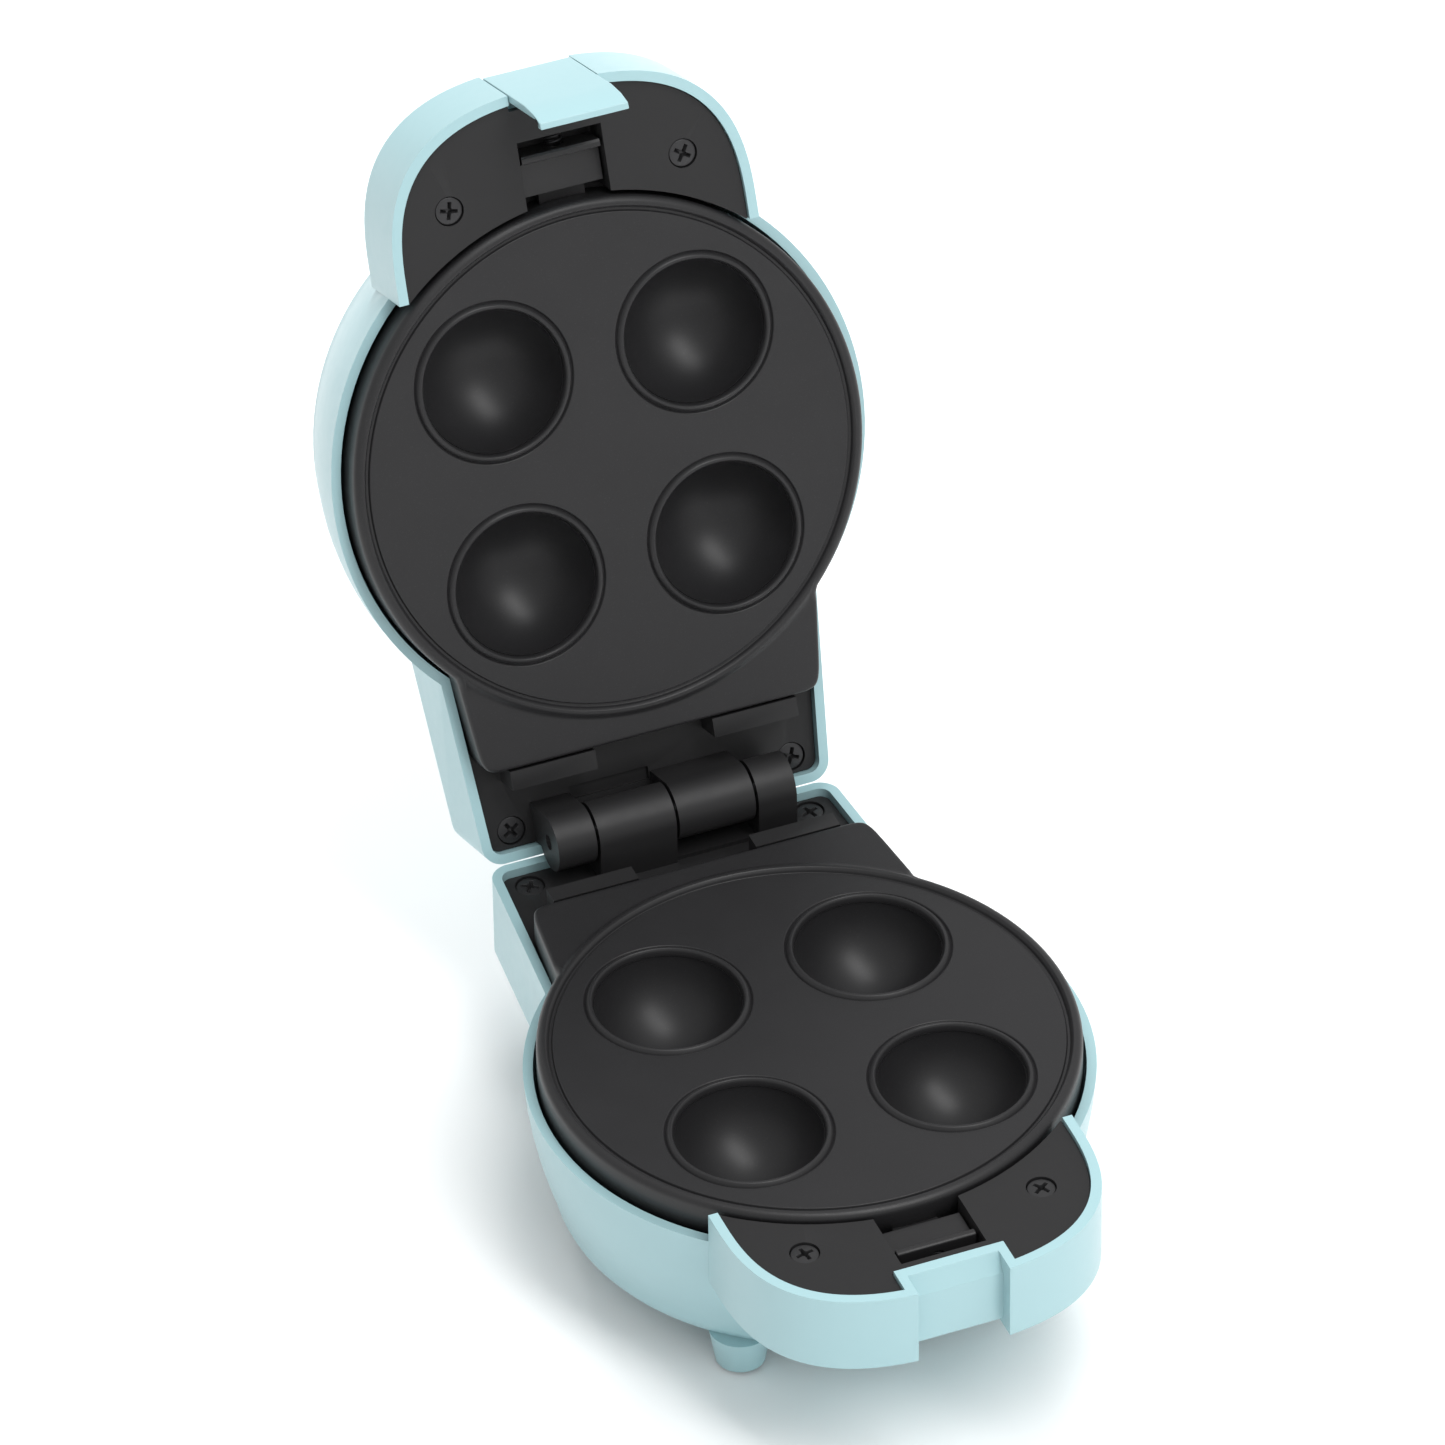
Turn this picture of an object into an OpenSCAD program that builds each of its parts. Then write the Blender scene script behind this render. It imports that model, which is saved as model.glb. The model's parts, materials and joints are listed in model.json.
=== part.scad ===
// Four-cup donut ball maker, standing on its feet with the lid open on its stop.
//
// Both halves share one outline. Each is modelled as the lower half of the
// closed appliance: the parting plane and the hinge axis lie at z = 0, the
// baking plate is centred on x = y = 0, the handle lobe points to -Y and the
// hinge to +Y. upper() mirrors a half and swings it open about the hinge pin,
// and stand() lifts the whole so that the feet rest on z = 0.

/* [Baking plates] */
// Radius of one round cup
cup_r = 18.5; // [16:0.5:19.5]
// Distance between neighbouring cup centres
cup_pitch = 53; // [50:0.5:56]
// Radius of the round part of a plate
plate_r = 66.7; // [61:0.1:80]
// Height of the edge of a plate
plate_h = 10; // [9:0.5:12]
// Thickness of the cast plate
plate_t = 3.2; // [2.5:0.1:4]
// Height of the beads round the cups and the edge
bead_h = 0.8; // [0.2:0.05:0.85]
// Length of the tail behind the round part of a plate
tail_len = 5.9; // [4:0.1:9]
// Half the width of the tail at its back edge
tail_half = 45; // [38:0.5:45.5]

/* [Housings] */
// Wall thickness of both housings
wall = 2.5; // [2:0.1:3]
// Gap between a plate and the rim round it
rim_gap = 0.9; // [0.6:0.1:1.4]
// Depth of the round rim below the parting plane
rim_drop = 8.6; // [7:0.1:10]
// Depth of each housing from the parting plane
body_depth = 47.5; // [45:0.5:57]
// Radius of the round bottom edge
base_round = 7; // [4:0.5:9]
// Half the width of the handle lobe
lobe_half = 47.4; // [45.5:0.2:50]
// Length of the handle lobe in front of the round rim
lobe_len = 27.4; // [26:0.1:34]
// Depth of the handle lobe
lobe_depth = 21.6; // [21.4:0.2:25]
// Half the width of the neck at its back
neck_half = 46.6; // [45.5:0.1:48]
// Half the width of the neck where it leaves the round body
neck_root_half = 50.5; // [49:0.5:53]
// Depth of the neck
neck_depth = 31.5; // [30:0.5:34]
// Height of the feet below the housing
foot_h = 8; // [6:0.5:12]

/* [Hinge] */
// Distance from the back edge of a plate to the hinge pin
hinge_len = 20.6; // [20:0.1:24]
// Angle of the lid on its stop
open_angle = 111; // [100:1:115]
// Outer radius of the hinge knuckles
knuckle_r = 7.5; // [6.5:0.1:8]
// Half the length of the hinge
hinge_half = 32.2; // [30:0.2:33]
// Radius of the hinge pin
pin_r = 2; // [1.5:0.1:2.5]

/* [Latch and release buttons] */
// Width of the latch
latch_w = 23; // [20:0.5:26]
// Thickness of the latch
latch_t = 2.1; // [1.8:0.1:2.3]
// Width of a release button
button_w = 20.6; // [16:0.2:21]
// Travel of a release button
button_travel = 2.5; // [1.5:0.1:2.8]

/* [Screws and inlet] */
// Radius of a frame screw's head
screw_head_r = 3.5; // [3:0.1:3.6]
// Radius of the mains inlet bore
inlet_r = 3.6; // [3:0.1:4]

/* [Hidden] */

$fn = 96;

AQUA = [0.72, 0.87, 0.88];
BLACK = [0.11, 0.11, 0.12];
COATED = [0.16, 0.16, 0.17];
STEEL = [0.75, 0.76, 0.78];
COPPER = [0.72, 0.45, 0.25];

eps = 0.01;
slip = 0.25;                        // clearance of a loose sliding fit
running = 0.05;                     // radial clearance of a turning pin
top_gap = 0.9;                      // plate face below the parting plane
clip_gap = 1.4;                     // top of the plate clips below the parting plane
knuckle_gap = 0.8;                  // gap between neighbouring knuckles
lobe_gap = 0.3;                     // lobe rim below the parting plane
cup_at = cup_pitch / 2;
cup_wall = 2.5;

rim_in = plate_r + rim_gap;
rim_out = rim_in + wall;
tail_back = plate_r + tail_len;
tail_flare = 3.4;                   // the tail is wider at its root
tail_root = sqrt(pow(plate_r, 2) - pow(tail_half + tail_flare, 2)) - 5.895;
lobe_front = rim_out + lobe_len;
hinge_y = tail_back + hinge_len;
deck_t = 2.5;
deck_z = -(top_gap + plate_h);      // top of the ledge that carries the plate
lobe_deck_z = -1.4;                 // top of the deck in the handle lobe

// The side of a housing leans inwards a little faster the deeper it goes.
lean = 0.05;
lean_curve = 0.00457;
function wall_r(d) = rim_out - lean * d - lean_curve * d * d;
side_d = body_depth - rim_drop - base_round;
base_r = wall_r(side_d) - base_round;

// the lobe and the neck begin where they come out of the round body
lobe_end = 0.145 - sqrt(pow(rim_out, 2) - pow(lobe_half, 2));
lobe_root = lobe_end - 3.1;
lobe_power = 2.75;
neck_root = sqrt(pow(rim_out, 2) - pow(neck_root_half, 2)) - 4.62;
neck_corner = 5.5;

half_open = open_angle / 2;
stop_gap = 0.3;
// The back edges of the two rims meet on the plane that halves the opening.
neck_back = hinge_y + (rim_drop * cos(half_open) - stop_gap / 2) / sin(half_open);

notch_half = latch_w / 2 + 0.3;
cheek_t = 2.4;
notch_back = lobe_front - 4.5;      // outer face of the wall behind the latch
ledge_z = -(lobe_depth - 2.1);      // the latch hooks under this edge
ledge_slope = 2.9;
pocket_back = notch_back - 5.7;
lid_cheek_top = lobe_deck_z - deck_t - 0.2;

// the knuckles of the two frames take turns along the pin
knuckle_split = 21.2;
LOWER_KNUCKLES = [[-knuckle_split, 0], [knuckle_split, hinge_half]];
UPPER_KNUCKLES = [[-hinge_half, -knuckle_split], [0, knuckle_split]];

knuckle_back = neck_back - wall - slip - hinge_y;

well_half = button_w / 2 + 0.7;
well_front = plate_r + 17.8;
button_back = plate_r + 2.9;
button_front = well_front - button_travel - 1.6;
button_deep = 10.2;
tongue_half = 6;
tongue_z = -7.6;
spring_r = 2.3;
spring_z = -7.2;

screws = [[30.7, -rim_out - 1.7, lobe_deck_z], [37.6, hinge_y - 1.5, deck_z]];
screw_r = 1.5;
screw_head_h = 1.3;
screw_sink = 1.5;

clip_in = 15.7;
clip_out = 38.3;
clip_y = tail_back + 0.6;
clip_len = 5;
lug_in = clip_in + 4;
lug_out = clip_out - 4;
lug_z = -6.5;

foot_r = 6.2;
foot_root_r = 7.7;
pad_r = 4.6;
pad_out = 1;
front_foot = [37, -sqrt(pow(base_r + 1.41, 2) - pow(37, 2))];
back_foot = [30, hinge_y - 9];
floor_z = -(body_depth + foot_h);

coil_r = norm([cup_at, cup_at]);
coil_tube = 3.2;
coil_z = -(top_gap + cup_r + cup_wall + coil_tube + 0.3);
dish_r = plate_r - 11.2;
dish_t = 0.8;
dish_z = coil_z - coil_tube - 3.4;
ledge_in = plate_r - 8.7;
cold_pin_x = 9;
cold_pin_back = sqrt(coil_r * coil_r - cold_pin_x * cold_pin_x);

inlet_z = -21;
gland_r = 6;
block_y = rim_out - 6.1;            // front of the terminal block

pivot_y = -(lobe_front - 2.2);
pivot_z = -15.5;
latch_pin_r = 1;
latch_face = -(lobe_front - 0.2);
latch_tip = -(ledge_z - 0.4);

lens_y = -30;
lens_r = 4;

// The open lid's farthest point behind the hinge sets the middle of the footprint.
back_reach = hinge_y - (base_r + hinge_y) * cos(open_angle)
    + (body_depth - base_round) * sin(open_angle) + base_round;
mid_y = (back_reach - lobe_front) / 2;

module stand() translate([0, -mid_y, -floor_z]) children();

module upper()
    stand() translate([0, hinge_y, 0]) rotate([-open_angle, 0, 0])
    translate([0, -hinge_y, 0]) mirror([0, 0, 1]) children();

module both_sides() {
    children();
    mirror([1, 0, 0]) children();
}

module rod(from, to, r) {
    d = to - from;
    translate(from) rotate([0, acos(d[2] / norm(d)), atan2(d[1], d[0])])
        cylinder(r = r, h = norm(d), $fn = 24);
}

// Each stretch is a hair thinner than the last, so that no two equal rods meet.
module wire(points, r) {
    for (i = [0 : len(points) - 2]) rod(points[i], points[i + 1], r - 0.02 * i);
    for (i = [1 : len(points) - 2]) translate(points[i]) sphere(r = r * 1.12, $fn = 24);
}

module ring(r_in, r_out, h)
    difference() {
        cylinder(r = r_out, h = h);
        translate([0, 0, -eps]) cylinder(r = r_in, h = h + 2 * eps);
    }

// ---- outlines ----

module bowl_section(inset, top)
    polygon(concat(
        [[0, top], [rim_out - inset, top]],
        [for (i = [0 : 5]) [wall_r(side_d * i / 5) - inset, -rim_drop - side_d * i / 5]],
        [for (a = [15 : 15 : 90])
            [base_r + (base_round - inset) * cos(a),
             -body_depth + base_round - (base_round - inset) * sin(a)]],
        [[0, -body_depth + inset]]));

module lobe_outline(inset, back)
    let (a = lobe_half - inset, b = lobe_front + lobe_root - inset, e = 2 / lobe_power)
    polygon(concat(
        [[-a, back]],
        [for (t = [180 : 3 : 360])
            [a * sign(cos(t)) * pow(abs(cos(t)), e), lobe_root - b * pow(abs(sin(t)), e)]],
        [[a, back]]));

module neck_outline(inset)
    hull() {
        both_sides() translate([neck_half - neck_corner, neck_back - neck_corner])
            circle(r = neck_corner - inset);
        translate([inset - neck_root_half, neck_root])
            square([2 * (neck_root_half - inset), 1]);
    }

module tail_outline(inset)
    polygon([[inset - tail_half - tail_flare, tail_root],
             [inset - tail_half, tail_back - inset - 1.5],
             [inset - tail_half + 1.5, tail_back - inset],
             [tail_half - inset - 1.5, tail_back - inset],
             [tail_half - inset, tail_back - inset - 1.5],
             [tail_half + tail_flare - inset, tail_root]]);

// ---- housings ----

module notch_cut() {
    // passage for the latch, through the front wall and out of the bottom
    translate([-notch_half, -lobe_front - 2, -lobe_depth - 1])
        cube([2 * notch_half, lobe_front + 2 - notch_back, lobe_depth + 2]);
    // raised bottom edge, so that the hook can turn in under it
    translate([-notch_half, -lobe_front - 2, -lobe_depth - 1])
        cube([2 * notch_half, lobe_front + 1 - pocket_back, ledge_z + lobe_depth + 1]);
    // sloping lead-in at the top of the wall
    translate([-notch_half, 0, 0]) rotate([90, 0, 90]) linear_extrude(2 * notch_half)
        polygon([[-notch_back - 1, 1], [ledge_slope - notch_back, 1],
                 [ledge_slope - notch_back, -lobe_gap], [-notch_back, -5],
                 [-notch_back - 1, -5]]);
}

module pocket_block(top)
    difference() {
        translate([-notch_half - cheek_t, -lobe_front + 0.9, -lobe_depth + 0.5])
            cube([2 * (notch_half + cheek_t), lobe_front - 0.9 - pocket_back,
                  lobe_depth - 0.5 + top]);
        translate([-notch_half, wall - notch_back, ledge_z + wall])
            cube([2 * notch_half, 9, -ledge_z - wall - 8]);
    }

module screw_boss(at, from) {
    top = at[2] - deck_t;
    both_sides() translate([at[0], at[1], from])
        cylinder(r = 3.6, h = top - from);
}

module shell_outside() {
    rotate_extrude() bowl_section(0, -rim_drop);
    translate([0, 0, -lobe_depth]) linear_extrude(lobe_depth - lobe_gap)
        lobe_outline(0, lobe_end);
    translate([0, 0, -neck_depth]) linear_extrude(neck_depth - rim_drop)
        neck_outline(0);
}

module shell_inside() {
    rotate_extrude() bowl_section(wall, 1);
    translate([0, 0, wall - lobe_depth]) linear_extrude(lobe_depth)
        lobe_outline(wall, lobe_end - wall);
    translate([0, 0, -rim_drop]) linear_extrude(rim_drop + 1)
        lobe_outline(wall, lobe_end + 1);
    translate([0, 0, wall - neck_depth]) linear_extrude(neck_depth)
        neck_outline(wall);
}

module housing_half(cheek_top) {
    difference() {
        union() {
            difference() {
                shell_outside();
                shell_inside();
            }
            pocket_block(cheek_top);
            screw_boss(screws[0], wall - lobe_depth - 0.5);
            screw_boss(screws[1], wall - neck_depth - 0.5);
        }
        notch_cut();
        for (s = screws) both_sides()
            translate([s[0], s[1], s[2] - deck_t - 10]) cylinder(r = screw_r, h = 11, $fn = 32);
    }
}

module foot(at, root_z)
    both_sides() translate([at[0], at[1], floor_z + pad_out])
        cylinder(r1 = foot_r, r2 = foot_root_r, h = root_z - floor_z - pad_out);

module lower_housing()
    stand() color(AQUA) difference() {
        union() {
            housing_half(-lobe_gap);
            foot(front_foot, -body_depth + wall - eps);
            foot(back_foot, -neck_depth + wall - eps);
        }
        for (f = [front_foot, back_foot]) both_sides()
            translate([f[0], f[1], floor_z]) cylinder(r = pad_r, h = pad_out + 2);
        translate([0, neck_back - wall - 1, inlet_z]) rotate([-90, 0, 0])
            cylinder(r = gland_r, h = wall + 2);
    }

module upper_housing()
    upper() color(AQUA) difference() {
        housing_half(lid_cheek_top);
        translate([0, lens_y, -body_depth - 1]) cylinder(r = lens_r, h = wall + 2);
        translate([-notch_half - cheek_t - 1, pivot_y, pivot_z]) rotate([0, 90, 0])
            cylinder(r = latch_pin_r, h = 2 * (notch_half + cheek_t) + 2, $fn = 32);
        // room for the latch's boss and its upper end as it swings
        translate([-notch_half, -lobe_front - 1, -lobe_depth - 1])
            cube([2 * notch_half, lobe_front + 1.6 - notch_back, lobe_depth]);
    }

// ---- inner frames ----

module knuckle(x0, x1) {
    w = x1 - x0 - knuckle_gap;
    translate([x0 + knuckle_gap / 2, hinge_y, 0]) rotate([90, 0, 90]) {
        cylinder(r = knuckle_r, h = w);
        linear_extrude(w) polygon([[-knuckle_r, deck_z - eps], [-knuckle_r, 0], [0, 0],
                                   [knuckle_back, -6], [knuckle_back, deck_z - eps]]);
    }
}

// shallow pocket in the deck, into which the other frame's wide knuckle turns
module knuckle_pocket(side)
    translate([side < 0 ? -knuckle_split : 0, hinge_y - knuckle_r - 1.4, deck_z - 1.2])
        cube([knuckle_split, 3.6, 3]);

module clip()
    difference() {
        translate([clip_in, clip_y, deck_z - eps])
            cube([clip_out - clip_in, clip_len, -clip_gap - deck_z]);
        translate([lug_in - 0.5, clip_y - 1, lug_z - 1.3])
            cube([lug_out - lug_in + 1, 4, 2.6]);
    }

module lobe_room(clear) lobe_outline(wall + clear, lobe_end - wall - clear);

// deck of the handle lobe, and the curved wall that joins it to the plate ledge
module lobe_deck() {
    difference() {
        translate([0, 0, lobe_deck_z - deck_t]) linear_extrude(deck_t)
            lobe_outline(wall + slip, lobe_end);
        translate([0, 0, -20]) cylinder(r = rim_in + 0.3, h = 40);
    }
    intersection() {
        translate([0, 0, deck_z - deck_t]) linear_extrude(lobe_deck_z - deck_z + deck_t / 2)
            lobe_room(slip + 0.2);
        translate([0, 0, -20]) ring(rim_in + 0.3, rim_in + 2.3, 40);
    }
}

// ledge that carries the plate, widened into a deck in the neck
module plate_ledge()
    difference() {
        translate([0, 0, deck_z - deck_t]) linear_extrude(deck_t) {
            circle(r = rim_in - 1.1);
            neck_outline(wall + slip);
            intersection() {
                circle(r = rim_in + 1.3);
                lobe_room(slip + 0.2);
            }
        }
        translate([0, 0, -20]) cylinder(r = ledge_in, h = 40);
    }

module button_tray()
    translate([-well_half - 1.5, -well_front - 1.5, deck_z - deck_t])
        cube([2 * well_half + 3, well_front + 1.5 - ledge_in - 3, lobe_deck_z - deck_z + deck_t / 2]);

module frame_cuts() {
    translate([-well_half, -well_front, -button_deep - slip])
        cube([2 * well_half, well_front - rim_in + 2, 20]);
    // the tray's floor stays below the plate
    translate([0, 0, deck_z]) cylinder(r = rim_in + 0.3, h = 20);
    translate([-hinge_half - 1, hinge_y, 0]) rotate([0, 90, 0])
        cylinder(r = pin_r + running, h = 2 * hinge_half + 2, $fn = 48);
    for (s = screws) both_sides() translate([s[0], s[1], s[2]]) {
        translate([0, 0, -deck_t - 1]) cylinder(r = screw_r + 0.4, h = 5, $fn = 32);
        translate([0, 0, -screw_sink]) cylinder(r = screw_head_r + slip, h = 12, $fn = 48);
    }
}

// clearance round the cheeks and the wall of the lower half's notch
module notch_room()
    translate([-notch_half - cheek_t - slip, -lobe_front, -20])
        cube([2 * (notch_half + cheek_t + slip), lobe_front - pocket_back + slip, 30]);

// the lid's deck covers the cheeks and stops behind the latch
module latch_room() {
    translate([-notch_half, -lobe_front, -20])
        cube([2 * notch_half, lobe_front - notch_back + slip, 30]);
    translate([-notch_half - cheek_t - slip, -lobe_front, -20 + lid_cheek_top + slip / 2])
        cube([2 * (notch_half + cheek_t + slip), lobe_front - pocket_back + slip, 20]);
}

module inner_frame(knuckles, pocket_side)
    difference() {
        union() {
            lobe_deck();
            plate_ledge();
            button_tray();
            both_sides() clip();
            for (k = knuckles) knuckle(k[0], k[1]);
        }
        frame_cuts();
        knuckle_pocket(pocket_side);
    }

module lower_inner_frame()
    stand() color(BLACK) difference() {
        inner_frame(LOWER_KNUCKLES, 1);
        notch_room();
    }

module upper_inner_frame()
    upper() color(BLACK) difference() {
        inner_frame(UPPER_KNUCKLES, -1);
        latch_room();
    }

module hinge_pin()
    stand() color(STEEL) translate([-hinge_half + 1.5, hinge_y, 0]) rotate([0, 90, 0])
        cylinder(r = pin_r, h = 2 * hinge_half - 3, $fn = 48);

// ---- plates ----

module at_cups() for (x = [-1, 1], y = [-1, 1]) translate([x * cup_at, y * cup_at, -top_gap]) children();

module plate()
    difference() {
        union() {
            difference() {
                translate([0, 0, deck_z]) linear_extrude(plate_h) union() {
                    circle(r = plate_r);
                    tail_outline(0);
                }
                translate([0, 0, deck_z - 1]) linear_extrude(plate_h + 1 - plate_t) union() {
                    circle(r = plate_r - 2.4);
                    tail_outline(2.4);
                }
            }
            intersection() {
                at_cups() sphere(r = cup_r + cup_wall);
                translate([-60, -60, -top_gap - 40]) cube([120, 120, 40]);
            }
            at_cups() translate([0, 0, -eps]) cylinder(r1 = cup_r + 2, r2 = cup_r + 1.2, h = bead_h);
            translate([0, 0, -top_gap - eps]) ring(plate_r - 2.5, plate_r - 0.5, bead_h);
            both_sides() translate([lug_in, tail_back - 2, lug_z - 1])
                cube([lug_out - lug_in, 5, 2]);
        }
        at_cups() sphere(r = cup_r);
        at_cups() cylinder(r = cup_r, h = 5);
        translate([-tongue_half - 0.5, -plate_r - 1, tongue_z - 1.4])
            cube([2 * tongue_half + 1, 5, 2.8]);
    }

module lower_plate() stand() color(COATED) plate();
module upper_plate() upper() color(COATED) plate();

// ---- heating ----

module heat_shield()
    difference() {
        rotate_extrude() polygon([[0, dish_z], [dish_r - 9, dish_z], [dish_r, dish_z + 9],
            [dish_r, deck_z - deck_t - dish_t], [ledge_in + 4, deck_z - deck_t - dish_t],
            [ledge_in + 4, deck_z - deck_t], [dish_r - dish_t, deck_z - deck_t],
            [dish_r - dish_t, dish_z + 9.4], [dish_r - 9.4, dish_z + dish_t], [0, dish_z + dish_t]]);
        both_cold_pins() cylinder(r = 2.2, h = 20, center = true, $fn = 32);
    }

module both_cold_pins()
    for (s = [-1, 1]) translate([s * cold_pin_x, cold_pin_back, dish_z]) children();

module heating_element() {
    difference() {
        translate([0, 0, coil_z]) rotate_extrude() translate([coil_r, 0]) circle(r = coil_tube, $fn = 32);
        translate([-cold_pin_x, 0, coil_z - 5]) cube([2 * cold_pin_x, 60, 10]);
    }
    both_cold_pins() translate([0, 0, -6]) cylinder(r = 1.4, h = coil_z - dish_z + 6, $fn = 24);
}

module element_clamps()
    difference() {
        for (a = [150, 270, 30]) rotate([0, 0, a])
            translate([coil_r - 5.5, -4, dish_z + dish_t])
                cube([11, 8, coil_z - dish_z - dish_t + 2]);
        translate([0, 0, coil_z]) rotate_extrude() translate([coil_r, 0])
            circle(r = coil_tube + 0.1, $fn = 32);
        translate([0, 0, coil_z]) ring(coil_r - coil_tube - 0.1, coil_r + coil_tube + 0.1, 10);
        at_cups() sphere(r = cup_r + cup_wall + 0.3);
    }

module lower_heat_shield() stand() color(STEEL) heat_shield();
module upper_heat_shield() upper() color(STEEL) heat_shield();
module lower_heating_element() stand() color(STEEL) heating_element();
module upper_heating_element() upper() color(STEEL) heating_element();
module lower_element_clamps() stand() color(STEEL) element_clamps();
module upper_element_clamps() upper() color(STEEL) element_clamps();

// ---- screws ----

module frame_screws()
    for (s = screws) both_sides() translate([s[0], s[1], s[2]]) {
        difference() {
            translate([0, 0, -screw_sink]) cylinder(r1 = screw_head_r, r2 = screw_head_r - 0.3,
                h = screw_head_h, $fn = 48);
            for (a = [20, 110]) rotate([0, 0, a]) translate([-1.9, -0.35, -1.1]) cube([3.8, 0.7, 3]);
        }
        translate([0, 0, -screw_sink - 10]) cylinder(r = screw_r - 0.02, h = 10 + eps, $fn = 32);
    }

module lower_frame_screws() stand() color(BLACK) frame_screws();
module upper_frame_screws() upper() color(BLACK) frame_screws();

// ---- release buttons ----

module release_button()
    difference() {
        union() {
            translate([-button_w / 2, -button_front, -button_deep])
                cube([button_w, button_front - button_back, button_deep - 4.2]);
            translate([-button_w / 2, 0, 0]) rotate([90, 0, 90]) linear_extrude(button_w)
                polygon([[-button_front, -4.3], [-button_front, -2.4], [-button_front + 0.6, -2],
                         [-button_front + 1.8, -2], [-button_front + 2.6, -4.3]]);
            translate([-tongue_half, -button_back - eps, tongue_z - 0.9])
                cube([2 * tongue_half, button_back - plate_r + 1.5, 1.8]);
        }
        translate([0, -button_front - 1, spring_z]) rotate([-90, 0, 0])
            cylinder(r = spring_r + 0.3, h = 6, $fn = 32);
    }

// a closed coil drawn as a row of rounded turns
module release_spring()
    translate([0, -button_front + 5, spring_z]) rotate([90, 0, 0]) difference() {
        union() {
            cylinder(r = spring_r - 0.4, h = well_front - button_front + 5, $fn = 32);
            for (i = [0 : 7]) translate([0, 0, i * 1.18]) cylinder(r = spring_r, h = 0.7, $fn = 32);
        }
        translate([0, 0, -1]) cylinder(r = spring_r - 0.8, h = 20, $fn = 32);
    }

module lower_release_button() stand() color(BLACK) release_button();
module upper_release_button() upper() color(BLACK) release_button();
module lower_release_spring() stand() color(STEEL) release_spring();
module upper_release_spring() upper() color(STEEL) release_spring();

// ---- latch, drawn in its shut direction on the lid ----

module latch()
    upper() color(AQUA) difference() {
        union() {
            translate([-latch_w / 2, 0, 0]) rotate([90, 0, 90]) linear_extrude(latch_w)
                polygon([[latch_face, -lobe_depth + 2], [latch_face, latch_tip - 9],
                         [latch_face + 0.8, latch_tip - 2.5],
                         [latch_face + 2.2, latch_tip + 1.9],
                         [-notch_back - 0.4, latch_tip + 2.2],
                         [-notch_back - 0.4, latch_tip],
                         [latch_face + latch_t, latch_tip - 0.1],
                         [latch_face + latch_t, -lobe_depth + 2]]);
            translate([-latch_w / 2, pivot_y, pivot_z]) rotate([0, 90, 0])
                cylinder(r = pivot_y - latch_face, h = latch_w);
        }
        translate([-latch_w, pivot_y, pivot_z]) rotate([0, 90, 0])
            cylinder(r = latch_pin_r + running, h = 2 * latch_w, $fn = 32);
    }

module latch_pin()
    upper() color(STEEL) translate([-notch_half - cheek_t + 0.5, pivot_y, pivot_z])
        rotate([0, 90, 0]) cylinder(r = latch_pin_r, h = 2 * (notch_half + cheek_t) - 1, $fn = 32);

// ---- feet, inlet and electrics ----

module foot_pads()
    stand() color(BLACK) for (f = [front_foot, back_foot]) both_sides()
        translate([f[0], f[1], floor_z]) cylinder(r1 = pad_r - 0.6, r2 = pad_r, h = pad_out + 2);

module cord_gland()
    stand() color(BLACK) translate([0, neck_back, inlet_z]) rotate([-90, 0, 0]) difference() {
        union() {
            translate([0, 0, -wall - 2.5]) cylinder(r = gland_r + 1.6, h = 2.5);
            translate([0, 0, -wall - 1]) cylinder(r = gland_r, h = wall + 1.5);
            cylinder(r1 = gland_r + 1.6, r2 = gland_r - 0.6, h = 5);
        }
        translate([0, 0, -20]) cylinder(r = inlet_r, h = 40, $fn = 48);
    }

module thermostat()
    stand() color(STEEL) {
        translate([0, 0, dish_z - 6]) cylinder(r = 8, h = 6, $fn = 48);
        both_sides() translate([4, -1.6, dish_z - 10.5]) cube([0.8, 3.2, 5]);
    }

module thermal_fuse()
    stand() color(COPPER) {
        translate([-8, -22, dish_z - 2.4]) rotate([0, 90, 0]) cylinder(r = 2.4, h = 16, $fn = 32);
        wire([[-7, -22, dish_z - 2.4], [-12, -22, dish_z - 2.4], [-14, -14, dish_z - 4]], 0.5);
        wire([[7, -22, dish_z - 2.4], [12, -22, dish_z - 2.4], [14, -14, dish_z - 4]], 0.5);
    }

module terminal_block()
    stand() color([0.9, 0.89, 0.85]) difference() {
        translate([-12, block_y, wall - neck_depth]) cube([24, 12, 9]);
        for (x = [-8, 0, 8]) translate([x, block_y - 4, wall - neck_depth + 4])
            rotate([-90, 0, 0]) cylinder(r = 1.6, h = 20, $fn = 24);
    }

module base_wiring()
    stand() color([0.55, 0.2, 0.15]) both_sides()
        wire([[8, block_y + 4, wall - neck_depth + 4], [8, block_y - 4, wall - neck_depth + 4],
              [cold_pin_x, cold_pin_back, dish_z - 9]], 1.1);

module lid_wiring()
    upper() color([0.55, 0.2, 0.15]) both_sides()
        wire([[6, dish_r + 4.5, deck_z - deck_t - 6], [8, dish_r - 7.5, dish_z - 6],
              [cold_pin_x, cold_pin_back, dish_z - 7.6],
              [6, 0, dish_z - 6], [2, lens_y, -body_depth + 11.2]], 1);

module indicator_lens()
    upper() color([0.8, 0.25, 0.15]) translate([0, lens_y, -body_depth]) {
        translate([0, 0, -0.8]) cylinder(r1 = lens_r - 0.6, r2 = lens_r, h = 0.8);
        cylinder(r = lens_r, h = wall);
        translate([0, 0, wall]) cylinder(r = lens_r + 1.2, h = 1);
    }

module indicator_lamp()
    upper() color([0.95, 0.6, 0.4]) translate([0, lens_y, -body_depth + wall + 1])
        cylinder(r = 2.4, h = 6.4, $fn = 32);

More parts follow.
